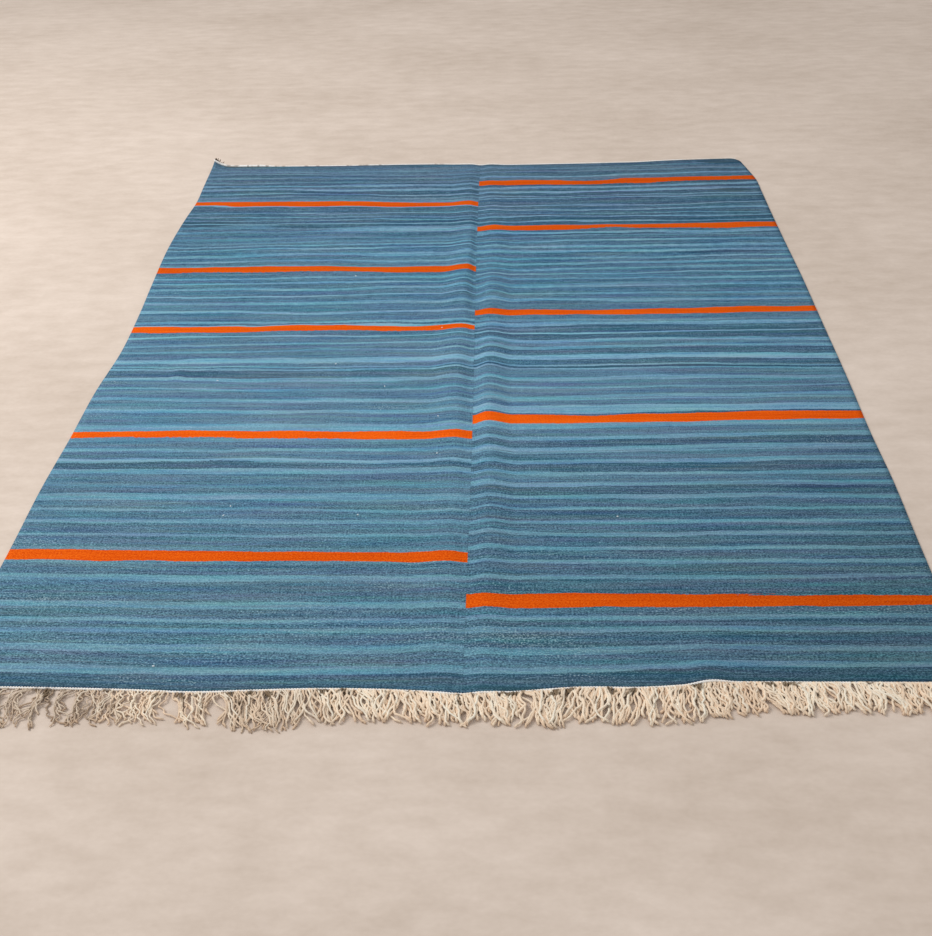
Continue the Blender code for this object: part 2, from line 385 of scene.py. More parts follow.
rightStripes = table(
    "start end tone ground",
    (-60, 49, "navy", "navy"), (49, 65), (91, 106, "light", "dim"), (143, 157, "light", "dim"),
    (175, 187), (210, 248, "orange", "dim"), (290, 302, "light", "dim"), (340, 350, "light", "dim"),
    (382, 393, "light", "dim"), (428, 440, "light", "dim"), (466, 480, "light", "dim"),
    (516, 525, "light", "dim"), (553, 570, "light", "navy"), (603, 617), (643, 657, "light", "navy"),
    (688, 705), (733, 739), (741, 757, "light", "navy"), (785, 800), (833, 856),
    (856, 893, "orange", "navy"), (899, 932, "bright"), (957, 964), (966, 978), (1012, 1020),
    (1050, 1067), (1105, 1111, "light", "deep"), (1119, 1127, "light", "navy"),
    (1155, 1178, "bright", "navy"), (1212, 1226), (1246, 1258, "light", "navy"),
    (1287, 1293, "pale", "navy"), (1327, 1345), (1353, 1362, "soft"), (1390, 1423, "orange"),
    (1468, 1485), (1511, 1521), (1556, 1568, "light", "soft"), (1580, 1604, "slate"), (1604, 1614),
    (1640, 1648, "pale"), (1671, 1679), (1702, 1716), (1743, 1752), (1782, 1800), (1822, 1838),
    (1863, 1870, "bright"), (1897, 1905, "soft", "navy"), (1920, 1936), (1949, 1983, "orange"),
    (1988, 2006, "navy", "navy"), (2006, 2016, "light", "navy"), (2043, 2052, "light", "dim"),
    (2067, 2073, "light", "dim"), (2097, 2104, "light", "dim"), (2133, 2139, "bright", "dim"),
    (2193, 2199, "light", "dim"), (2209, 2216, "light", "dim"), (2243, 2257, "light", "dim"),
    (2280, 2296, "light", "dim"), (2300, 2310, "navy", "navy"), (2310, 2350, "orange"),
    (2380, 2395, "light", "dim"), (2425, 2435, "soft"), (2460, 2468, "soft"),
    (2474, 2560, "dim", "dim"),
    defaults=("light", "slate"),
)

# how far, in millimetres, the wefts bow off their charted place at some places across
bowPlaces = ((-0.95, -0.50, -0.20, -0.02), (0.06, 0.25, 0.50, 0.90))
bows = table(
    "up farLeft left innerLeft leftSeam rightSeam innerRight right farRight",
    (0.00, 10, 0, 3, 3, -24, -17, 0, 2),
    (0.05, 8, 0, 3, 3, -21, -15, 0, 0),
    (0.10, 6, 0, -3, 2, -9, -7, 0, 0),
    (0.16, 6, 0, 0, 0, -5, -4, 0, 2),
    (0.25, 6, 0, 0, 0, -4, -2, 0, 4),
    (0.37, 8, 0, -2, -3, 0, 0, 0, 3),
    (0.60, 5, 0, -3, -5, 2, 0, 0, 3),
    (0.81, 0, 0, -8, -5, -6, -6, 3, 12),
    (1.00, 8, 0, -4, -3, -1, -3, 0, 3),
    (1.15, 0, 0, 0, 0, -2, -2, 0, -4),
    (1.24, -9, 0, 5, 5, -3, -5, 0, 1),
    (1.32, 0, 2, -12, -3, 3, 4, 2, 9),
    (1.37, 8, 0, 2, 4, 3, 6, -2, 9),
    (1.48, 3, 0, -2, -2, 0, 7, 1, 5),
    (1.60, 0, 0, 7, 6, 2, 2, 0, 3),
    (1.69, -1, 2, -8, -14, 0, -1, 0, 8),
    (1.83, -6, 0, 0, 2, 1, 0, 0, 3),
    (1.94, 0, 0, -2, -4, -6, 4, 0, 1),
    (2.02, 5, 0, -5, -8, -2, 4, 0, 1),
    (2.18, 11, 3, -12, -16, -2, 1, 3, 9),
    (2.33, 20, 2, -3, -7, -4, 0, 0, 21),
    (2.50, 5, 0, -4, -8, 0, 0, 0, 22),
)


def weftPlace(across, up, half):
    # where on the chart of one half, 0 left or 1 right, a point of the cloth lies
    places = bowPlaces[half]
    columns = [readTable(bows, "up", name, up) for name in bows[0]._fields[1 + 4 * half:5 + 4 * half]]
    bow = np.where(across <= places[0], columns[0], columns[-1])
    for index in range(len(places) - 1):
        start, end = places[index], places[index + 1]
        share = np.clip((across - start) / (end - start), 0.0, 1.0)
        share = share * share * (3.0 - 2.0 * share)
        here = (across > start) & (across <= end)
        bow = np.where(here, columns[index] * (1.0 - share) + columns[index + 1] * share, bow)
    return up - bow / 1000.0 + 0.0032 + 0.0006 * up


# short wedges and lenses that break or thin the stripes: place and half size on the chart, metres
lenses = table(
    "across up halfAcross halfUp tone",
    (-1.000, 0.795, 0.700, 0.0085, "soft"),
    (-0.150, 1.312, 0.600, 0.0070, "slate"),
    (-0.720, 1.670, 0.260, 0.0100, "slate"),
    (-0.240, 1.343, 0.140, 0.0040, "pale"),
    (0.980, 0.248, 0.410, 0.0100, "dim"),
    (0.290, 1.423, 0.130, 0.0090, "slate"),
    (0.400, 2.350, 0.110, 0.0090, "slate"),
    (0.500, 2.310, 0.090, 0.0100, "navy"),
    (0.540, 1.949, 0.330, 0.0060, "slate"),
    (0.430, 1.949, 0.150, 0.0120, "slate"),
    (0.460, 1.983, 0.240, 0.0020, "slate"),
    (0.900, 2.310, 0.600, 0.0060, "navy"),
    (-0.640, 1.970, 0.190, 0.0130, "slate"),
    (-0.900, 1.970, 0.300, 0.0110, "slate"),
    (-0.560, 1.995, 0.170, 0.0070, "navy"),
    (-0.780, 2.008, 0.110, 0.0080, "soft"),
    (-0.220, 1.935, 0.170, 0.0170, "dim"),
    (-0.120, 1.090, 0.110, 0.0140, "navy"),
    (-0.650, 0.690, 0.220, 0.0150, "navy"),
    (-0.740, 1.168, 0.080, 0.0110, "bright"),
    (0.800, 0.595, 0.150, 0.0070, "deep"),
    (0.620, 1.318, 0.080, 0.0070, "navy"),
    (0.780, 1.775, 0.150, 0.0100, "navy"),
    (0.780, 1.925, 0.230, 0.0130, "light"),
    (0.890, 2.235, 0.070, 0.0110, "deep"),
    (0.900, 2.475, 0.100, 0.0220, "deep"),
)

# share up the rug to half of how light the wool is, and half of how strong its colour is
alongRug = table(
    "share light strength",
    (0.00, 0.480, 0.545), (0.06, 0.485, 0.545), (0.25, 0.510, 0.550), (0.40, 0.567, 0.550),
    (0.46, 0.564, 0.550), (0.58, 0.542, 0.575), (0.66, 0.542, 0.590), (0.78, 0.520, 0.575),
    (0.88, 0.518, 0.545), (0.94, 0.500, 0.535), (1.00, 0.490, 0.530),
)

# soft patches, some lighter and some darker; the dark ones at the side edges are painted shade where the light
# falls off
patches = table(
    "across up halfAcross halfUp change",
    (1.000, 0.600, 0.420, 1.000, -0.095),
    (0.950, 2.270, 0.330, 0.260, -0.070),
    (-1.000, 1.900, 0.500, 0.900, -0.075),
    (-0.280, 0.800, 0.800, 0.300, 0.080),
    (0.230, 1.200, 0.600, 0.260, 0.085),
    (0.150, 1.980, 0.600, 0.450, 0.050),
    (-0.580, 1.200, 0.420, 0.200, -0.055),
    (-0.550, 1.600, 0.420, 0.260, -0.040),
    (0.100, 0.600, 0.450, 0.260, 0.040),
    (0.620, 1.000, 0.420, 0.220, -0.045),
    (-0.120, 0.200, 0.250, 0.220, -0.035),
)


def patchShade(across, up):
    shade = np.ones(len(across))
    for patch in patches:
        aside = softStep((across - patch.across) / patch.halfAcross)
        shade += patch.change * aside * softStep((up - patch.up) / patch.halfUp)
    return shade


weave = {
    "stopsInARamp": 30,
    "chartEnd": 2.560,
    "ribPitch": 0.0042,       # one warp and the weft that bows over it
    "pickPitch": 0.0021,      # one packed pick of weft
    "beadHeight": 0.0007,
    "slit": 0.0014,           # half width of the slit line between the two halves
}


def chartStops(stripes):
    # places where the weaver changes yarn, as (place, tone name)
    stops = []
    for index, stripe in enumerate(stripes):
        stops.append((stripe.start / 1000.0, stripe.tone))
        following = stripes[index + 1].start if index + 1 < len(stripes) else stripe.end
        if following > stripe.end:
            stops.append((stripe.end / 1000.0, stripe.ground))
    return stops


def chartTone(tree, place, stripes):
    # the chart as colour ramps laid end to end: red holds the tone, green the orange yarn
    stops = chartStops(stripes)
    size = weave["stopsInARamp"]
    color = None
    for first in range(0, len(stops), size):
        part = stops[first:first + size]
        start = part[0][0]
        length = (stops[first + size][0] if first + size < len(stops) else weave["chartEnd"]) - start
        share = calc(tree, "DIVIDE", minus(tree, place, start), length)
        marks = [((up - start) / length, (*tones[tone], 0.0, 1.0)) for up, tone in part]
        piece = ramp(tree, share, marks, "CONSTANT")
        here = calc(tree, "GREATER_THAN", place, start)
        color = piece if color is None else mixColor(tree, here, color, piece)
    return color


# noises on the weave: cells in a metre across and up, how far the value swings, and a shift
Grain = namedtuple("Grain", "across up size shift detail", defaults=(2.0,))
grains = {
    "wander": Grain(2.6, 13.0, 0.0240, (0.0, 0.0)),
    "ripple": Grain(10.0, 30.0, 0.0085, (7.0, 3.0)),
    "jitter": Grain(90.0, 260.0, 0.0030, (1.0, 9.0)),
    "dye": Grain(1.6, 30.0, 0.50, (4.0, 4.0)),
    "streak": Grain(2.4, 100.0, 0.60, (5.0, 7.0)),
    "pick": Grain(6.0, 220.0, 0.90, (2.0, 5.0)),
    "dash": Grain(60.0, 250.0, 0.80, (9.0, 2.0)),
    "speck": Grain(240.0, 340.0, 1.75, (6.0, 1.0), 1.0),
    "rib": Grain(260.0, 12.0, 0.20, (3.0, 8.0)),
    "mottle": Grain(42.0, 125.0, 1.0, (13.0, 2.0)),
    "castBand": Grain(3.0, 75.0, 0.13, (8.0, 8.0)),
    "castDash": Grain(60.0, 240.0, 0.04, (5.0, 5.0)),
    "strength": Grain(3.0, 60.0, 0.70, (4.0, 11.0)),
    "fleckPatch": Grain(2.6, 12.0, 2.2, (3.0, 3.0)),
}

# grey wisps carded into the darker yarn, fine lines of them in broad patches
wisps = table(
    "shift amount color",
    ((1.0, 6.0), 0.48, (118, 138, 130)),
    ((12.0, 4.0), 0.34, (112, 116, 130)),
)
wispLine = Grain(4.0, 170.0, 3.4, None)
wispPatch = Grain(1.1, 9.0, 2.4, None)

yarn = {
    "toneMiddle": 0.58,       # tones spread away from this one up the rug
    "farSpread": 0.20,
    "rightSpread": 0.16,      # and more so in the right half
    "lensRagged": 260.0,
    "hue": 0.492,             # 0.5 leaves the colour as it is
    "hueUp": 0.006,
    "hueFarTone": 0.015,
    "orangeDarkerUp": 0.13,
    "fleckLimit": 0.68,
    "fleckAmount": 0.42,
    "fleckColor": (186, 203, 206),
    "slitShade": 0.10,
    "nearRightShade": 0.55,
    "roughBump": 1.4,
}


def scaledColor(tree, color, scale):
    return newNode(tree, "VectorMath", {"operation": "SCALE"}, {0: color, "Scale": scale}).outputs[0]


def weaveGrain(tree, uv, grain, shift=None):
    place = scaled(tree, uv, (grain.across, grain.up, 0.0), (*(shift or grain.shift), 0.0))
    return swing(tree, noise(tree, place, grain.detail), grain.size)


def cutLenses(tree, chart, across, place, jitter):
    for lens in lenses:
        aside = calc(tree, "DIVIDE", minus(tree, across, lens.across), lens.halfAcross)
        above = calc(tree, "DIVIDE", minus(tree, place, lens.up), lens.halfUp)
        reach = add(tree, times(tree, aside, aside), calc(tree, "ABSOLUTE", above))
        inside = calc(tree, "LESS_THAN", add(tree, reach, times(tree, jitter, yarn["lensRagged"])), 1.0)
        chart = mixColor(tree, inside, chart, (*tones[lens.tone], 0.0, 1.0))
    return chart


def weaveBump(tree, shader, uv, across, up):
    # weft beads in alternate rows, as on a weft-faced plain weave
    rowPlace = calc(tree, "DIVIDE", up, weave["pickPitch"])
    odd = times(tree, calc(tree, "FLOORED_MODULO", calc(tree, "FLOOR", rowPlace), 2.0), 0.5)
    columnPlace = add(tree, calc(tree, "DIVIDE", across, weave["ribPitch"]), odd)
    bead = calc(tree, "ABSOLUTE", calc(tree, "SINE", times(tree, columnPlace, math.pi)))
    row = calc(tree, "ABSOLUTE", calc(tree, "SINE", times(tree, rowPlace, math.pi)))
    rough = noise(tree, scaled(tree, uv, (160.0, 420.0, 0.0), (5.0, 2.0, 0.0)), 3.0)
    height = add(tree, times(tree, bead, row), times(tree, rough, yarn["roughBump"]))
    bump = newNode(tree, "Bump", None, {"Strength": 0.7, "Distance": weave["beadHeight"], "Height": height})
    tree.links.new(bump.outputs[0], shader.inputs["Normal"])


def kilimMaterial():
    material, tree, shader = newMaterial("kilimWool", 0.95, 0.0)
    uv = newNode(tree, "UVMap", {"uv_map": "weaveLeft"}).outputs[0]
    rightUv = newNode(tree, "UVMap", {"uv_map": "weaveRight"}).outputs[0]
    parts = newNode(tree, "SeparateXYZ", None, {0: uv})
    across, up = parts.outputs[0], parts.outputs[1]
    rightUp = newNode(tree, "SeparateXYZ", None, {0: rightUv}).outputs[1]
    look = {name: weaveGrain(tree, uv, grain) for name, grain in grains.items()}
    jitter, dye, pick, rib = look["jitter"], look["dye"], look["pick"], look["rib"]

    # how far a point is along slow changes, from 0 to 1
    fromMiddle = clamp(tree, minus(tree, up, 1.1))
    upperHalf = clamp(tree, times(tree, minus(tree, up, 1.0), 1.6))
    farEnd = clamp(tree, times(tree, minus(tree, up, 1.8), 2.5))
    fromNearEnd = clamp(tree, times(tree, up, 14.0))
    rightward = clamp(tree, times(tree, across, 4.0))
    # painted shade: the wool is darker towards the near right, where the light falls off
    nearRightPaintedShade = clamp(tree, minus(tree, 1.0, times(tree, up, 1.8)))
    nearRightPaintedShade = times(tree, clamp(tree, times(tree, across, 1.3)), nearRightPaintedShade)

    # hand-beaten wefts wander a little off their line, most of all up the rug
    wander = times(tree, look["wander"], add(tree, 0.6, times(tree, up, 0.6)))
    seam = calc(tree, "GREATER_THAN", add(tree, across, jitter), 0.0)
    place = add(tree, mixValue(tree, seam, up, rightUp), wander, add(tree, look["ripple"], jitter))
    chart = mixColor(tree, seam, chartTone(tree, place, leftStripes), chartTone(tree, place, rightStripes))
    channels = newNode(tree, "SeparateColor", None, {0: cutLenses(tree, chart, across, place, jitter)})
    charted, orange = channels.outputs[0], channels.outputs[1]
    spread = add(tree, yarn["farSpread"], times(tree, rightward, yarn["rightSpread"]))
    spread = times(tree, minus(tree, charted, yarn["toneMiddle"]), times(tree, fromMiddle, spread))
    tone = add(tree, charted, spread)

    # uneven dye in bands, streaks of single picks, tweedy specks, and the ribs of the warp
    calm = minus(tree, 1.10, times(tree, tone, 0.65))        # light yarn is evener
    coarse = minus(tree, 1.85, clamp(tree, times(tree, up, 1.02)))
    coarse = times(tree, coarse, minus(tree, 1.0, times(tree, rightward, 0.13)))
    coarse = times(tree, coarse, add(tree, 0.58, times(tree, fromNearEnd, 0.42)))
    speck, dash = times(tree, look["speck"], coarse), times(tree, look["dash"], coarse)
    mottle = times(tree, look["mottle"], add(tree, 0.28, times(tree, upperHalf, 0.47)))
    uneven = times(tree, add(tree, dye, rib, add(tree, pick, dash, speck)), calm)
    uneven = add(tree, uneven, add(tree, times(tree, look["streak"], 0.8), mottle))
    blue = ramp(tree, add(tree, tone, uneven), [(at, linear(color)) for at, color in blues])

    # the blue leans to teal in some picks and to violet in others
    cast = times(tree, add(tree, look["castBand"], look["castDash"]), 0.90)
    hue = add(tree, yarn["hue"], times(tree, clamp(tree, up), yarn["hueUp"]), cast)
    hue = add(tree, hue, times(tree, farEnd, tone, yarn["hueFarTone"]))
    alongRugStops = [(share, (light, strength, 0.0, 1.0)) for share, light, strength in alongRug]
    alongRugValues = ramp(tree, calc(tree, "DIVIDE", up, lie["length"]), alongRugStops)
    alongRugValues = newNode(tree, "SeparateColor", None, {0: alongRugValues})
    strength = add(tree, times(tree, alongRugValues.outputs[1], 2.0), look["strength"])
    tinted = newNode(tree, "HueSaturation", None, {"Hue": hue, "Saturation": strength, "Color": blue}).outputs[0]
    for wisp in wisps:
        here = add(tree, weaveGrain(tree, uv, wispLine, wisp.shift), weaveGrain(tree, uv, wispPatch, wisp.shift))
        here = times(tree, clamp(tree, minus(tree, here, 0.30)), times(tree, calm, wisp.amount))
        tinted = mixColor(tree, here, tinted, linear(wisp.color))

    # orange yarn, a little darker up the rug
    glow = add(tree, dye, pick, add(tree, rib, times(tree, speck, 0.8)))
    glow = add(tree, 0.5, times(tree, glow, 1.2))
    fire = ramp(tree, glow, [(at, linear(color)) for at, color in flames])
    fire = scaledColor(tree, fire, minus(tree, 1.0, times(tree, upperHalf, yarn["orangeDarkerUp"])))
    color = mixColor(tree, orange, tinted, fire)

    # flecks of undyed cotton
    fleck = add(tree, speck, add(tree, times(tree, dash, 0.5), look["fleckPatch"]))
    fleck = calc(tree, "GREATER_THAN", fleck, yarn["fleckLimit"])
    fleck = times(tree, fleck, times(tree, calm, yarn["fleckAmount"]), minus(tree, 1.0, orange))
    color = mixColor(tree, fleck, color, linear(yarn["fleckColor"]))

    # lightness along the rug, lighter and darker patches with painted shade towards the side edges and the near
    # right, and painted shade along the slit between the two halves
    shade = newNode(tree, "Attribute", {"attribute_name": "shade"}).outputs["Fac"]
    # painted shade: a darker line along the slit, in the crease between the two halves
    slit = calc(tree, "LESS_THAN", calc(tree, "ABSOLUTE", add(tree, across, jitter)), weave["slit"])
    value = times(
        tree, alongRugValues.outputs[0], shade,
        minus(tree, 2.0, times(tree, nearRightPaintedShade, yarn["nearRightShade"])),
        minus(tree, 1.0, times(tree, slit, yarn["slitShade"])),
    )
    tree.links.new(scaledColor(tree, color, value), shader.inputs["Base Color"])
    weaveBump(tree, shader, uv, across, up)
    return material


# the cloth

cloth = {
    "foldColumns": 56,        # fine columns over the fold
    "foldHalf": 0.140,
    "sideColumns": 64,        # columns on each side of them
    "rows": 236,
    "unevenLift": 0.0011,
    "waves": ((7.1, 0.4, 0.3), (11.7, 1.9, 1.1), (17.3, 2.6, 2.4)),     # radians in a metre, heading, start
}


def clothColumns():
    side = np.linspace(-1.0, -cloth["foldHalf"], cloth["sideColumns"] + 1)
    middle = np.linspace(-cloth["foldHalf"], cloth["foldHalf"], cloth["foldColumns"] + 1)
    return np.concatenate([side, middle[1:-1], -side[::-1]])


def unevenLie(across, up):
    # a slow unevenness that never goes under the floor
    waves = 2.0
    for reach, turn, start in cloth["waves"]:
        way = across * math.cos(turn) + up * math.sin(turn)
        waves = waves + np.sin(way * reach + start + 1.3 * np.sin(up * 3.1 + turn))
    return np.maximum(waves, 0.0) / 5.0 * cloth["unevenLift"]


def makeCloth(material):
    columns = clothColumns()
    rows = np.linspace(0.0, 1.0, cloth["rows"] + 1)
    bm = bmesh.new()
    bmesh.ops.create_grid(bm, x_segments=len(columns) - 1, y_segments=len(rows) - 1, size=1.0)
    piece = meshPiece("kilimCloth", bm, material)
    mesh = piece.data
    points = pointsOf(mesh)
    column = columns[np.rint((points[:, 0] + 1.0) / 2.0 * (len(columns) - 1)).astype(int)]
    row = rows[np.rint((points[:, 1] + 1.0) / 2.0 * (len(rows) - 1)).astype(int)]
    across, up = clothPoint(column, row)
    lift = clothLift(across, up) + unevenLie(across, up)
    movePoints(mesh, np.stack([curlIn(across, up), up + lie["nearEnd"], lift], 1))
    seam = readTable(folds, "up", "trough", up)
    addUv(mesh, "weaveLeft", across - seam, weftPlace(across, up, 0))
    addUv(mesh, "weaveRight", across - seam, weftPlace(across, up, 1))
    addPointValue(mesh, "shade", patchShade(across, up))
    mesh.shade_smooth()
    solidify = piece.modifiers.new("thickness", "SOLIDIFY")
    solidify.thickness = lie["thickness"]
    solidify.offset = 1.0
    print("cloth", len(mesh.vertices), "points")
    return piece


# yarn: many copies of one short rod, bent along their own paths

def rodMesh(sidesRound, sections):
    # a capped rod one unit long, cut into equal sections
    bm = bmesh.new()
    bmesh.ops.create_cone(
        bm, cap_ends=True, cap_tris=False, segments=sidesRound, radius1=1.0, radius2=1.0, depth=1.0,
    )
    long = [edge for edge in bm.edges if abs(edge.verts[0].co.z - edge.verts[1].co.z) > 0.5]
    bmesh.ops.subdivide_edges(bm, edges=long, cuts=sections - 1, use_grid_fill=False)
    bmesh.ops.translate(bm, verts=bm.verts[:], vec=(0.0, 0.0, 0.5))
    mesh = bpy.data.meshes.new("rod")
    bm.to_mesh(mesh)
    bm.free()
    return mesh


def copiesOf(rod, count):
    bm = bmesh.new()
    for _ in range(count):
        bm.from_mesh(rod)
    return bm


def tubesAlong(name, paths, radius, twist, plies, pinch, sidesRound, material, dirt, tone):
    # paths is (tubes, sections + 1, 3); each tube is a plied yarn with its own soiling and tone, which on some
    # strands also carry painted shade
    count, stations = paths.shape[0], paths.shape[1]
    rod = rodMesh(sidesRound, stations - 1)
    unit = pointsOf(rod)
    station = np.rint(unit[:, 2] * (stations - 1)).astype(int)
    angle = np.arctan2(unit[:, 1], unit[:, 0])
    ahead = np.gradient(paths, axis=1)
    ahead /= np.linalg.norm(ahead, axis=2, keepdims=True)
    side = np.stack([ahead[..., 1], -ahead[..., 0], np.zeros(ahead.shape[:2])], 2)
    side /= np.maximum(np.linalg.norm(side, axis=2, keepdims=True), 1e-6)
    above = np.cross(side, ahead)
    turn = angle[None, :] + twist[:, station]
    lobe = 1.0 - pinch * (0.5 - 0.5 * np.cos(plies * angle[None, :]))
    reach = radius[:, station] * lobe
    center = paths[:, station]
    points = center + side[:, station] * (reach * np.cos(turn))[..., None]
    points = points + above[:, station] * (reach * np.sin(turn))[..., None]
    piece = meshPiece(name, copiesOf(rod, count), material)
    movePoints(piece.data, points.reshape(-1, 3))
    along = np.linspace(0.0, 1.0, stations)[station]
    addUv(piece.data, "yarn", np.tile(angle / (2.0 * math.pi), count), np.tile(along, count))
    addPointValue(piece.data, "dirt", np.repeat(dirt, len(station)))
    addPointValue(piece.data, "tone", np.repeat(tone, len(station)))
    piece.data.shade_smooth()
    bpy.data.meshes.remove(rod)
    print(name, count, "strands,", len(piece.data.polygons), "faces")
    return piece


# near fringe

fringe = {
    "strands": 1020,
    "sections": 32,
    "sidesRound": 8,
    "thick": 0.0044,
    "plies": 2,
    "pinch": 0.18,            # how deep the groove between two plies is
    "twistPitch": 0.0125,
    "pile": 0.0075,           # how high the topmost strands ride over the others
    "seed": 5,
}

# how the fringe lies along the near end; fill is the share of strands that are left
locks = table(
    "across reach lean dirt curl thick fill",
    (-1.00, 0.086, 0.04, 0.66, 1.6, 0.70, 0.42),
    (-0.85, 0.094, 0.02, 0.70, 1.6, 0.70, 0.40),
    (-0.79, 0.098, 0.02, 0.70, 1.7, 0.70, 0.40),
    (-0.72, 0.088, 0.08, 0.74, 1.8, 0.70, 0.46),
    (-0.66, 0.082, 0.06, 0.40, 1.8, 0.74, 0.50),
    (-0.60, 0.082, 0.06, 0.12, 1.7, 0.78, 0.48),
    (-0.54, 0.086, 0.14, 0.12, 1.5, 0.80, 0.46),
    (-0.48, 0.080, 0.30, 0.12, 1.3, 0.78, 0.55),
    (-0.43, 0.090, 0.22, 0.35, 1.0, 0.80, 0.68),
    (-0.38, 0.098, 0.26, 0.30, 1.2, 0.84, 0.80),
    (-0.30, 0.090, 0.26, 0.34, 1.1, 0.90, 0.85),
    (-0.22, 0.080, 0.36, 0.08, 1.1, 0.98, 0.85),
    (-0.13, 0.076, 0.30, 0.02, 1.1, 1.06, 0.85),
    (-0.05, 0.078, 0.20, 0.04, 1.2, 1.08, 0.85),
    (0.04, 0.074, 0.22, 0.06, 1.2, 1.08, 0.85),
    (0.12, 0.082, 0.08, 0.06, 1.1, 1.08, 0.85),
    (0.19, 0.090, -0.02, 0.12, 1.1, 1.06, 0.85),
    (0.27, 0.084, -0.20, 0.06, 1.0, 1.10, 0.88),
    (0.34, 0.088, -0.18, 0.04, 1.0, 1.12, 0.88),
    (0.43, 0.090, -0.02, 0.04, 1.1, 1.12, 0.88),
    # about 0.50 the strands are darkened as painted shade
    (0.50, 0.084, 0.14, 0.16, 1.4, 1.08, 0.88),
    (0.58, 0.074, 0.22, 0.06, 1.3, 1.08, 0.88),
    (0.65, 0.078, 0.14, 0.06, 1.2, 1.08, 0.88),
    (0.72, 0.072, 0.24, 0.08, 1.2, 1.08, 0.88),
    (0.82, 0.076, 0.20, 0.10, 1.3, 1.08, 0.88),
    (1.00, 0.080, 0.10, 0.10, 1.2, 1.08, 0.88),
)

# partings where the floor shows: place of the gap, its half width, and how far it runs on
partings = table(
    "across half start finish",
    (-0.930, 0.018, 0.10, 0.95),
    (-0.853, 0.014, 0.10, 0.90),
    (-0.813, 0.022, 0.10, 0.80),
    (-0.766, 0.022, 0.20, 1.15),
    (-0.732, 0.018, 0.15, 0.85),
    (-0.700, 0.013, 0.10, 0.85),
    (-0.620, 0.013, 0.30, 0.90),
    (-0.534, 0.026, 0.25, 1.10),
    (-0.497, 0.012, 0.20, 0.90),
    (-0.443, 0.020, 0.15, 1.05),
    (-0.095, 0.009, 0.50, 1.10),
    (0.142, 0.013, 0.02, 0.55),
    (0.236, 0.006, 0.40, 1.00),
)

# tufts in which the tips gather
tufts = (
    -0.960, -0.900, -0.825, -0.765, -0.715, -0.660, -0.610, -0.565, -0.515, -0.460, -0.380, -0.320,
    -0.215, -0.140, -0.060, 0.010, 0.070, 0.115, 0.190, 0.260, 0.320, 0.380, 0.440, 0.500,
    0.560, 0.640, 0.710, 0.790, 0.850, 0.910, 0.970,
)


def strandHeading(rng, count, share, curl):
    # slow random turns of a strand's direction, in radians; the tips curl most
    heading = np.zeros((count, share.shape[1]))
    for size, low, high in ((0.50, 0.3, 0.9), (0.45, 0.9, 1.9), (0.30, 2.0, 3.2)):
        waves = rng.uniform(low, high, count)[:, None] * 2.0 * math.pi
        start = rng.uniform(0.0, 2.0 * math.pi, count)[:, None]
        heading += size * rng.uniform(0.2, 1.0, count)[:, None] * np.sin(share * waves + start)
    kinks = rng.uniform(0.4, 1.1, count) * np.clip(curl - 0.9, 0.0, 0.8)
    heading += kinks[:, None] * np.sin(share * rng.uniform(22.0, 36.0, count)[:, None] + heading * 2.0)
    hook = rng.normal(0.0, 0.45, count)[:, None] * np.clip(share * 2.2 - 1.2, 0.0, 1.0)
    return (heading * np.clip(share * 4.0 + 0.25, 0.0, 1.0) + hook) * (0.3 + 0.75 * curl[:, None])


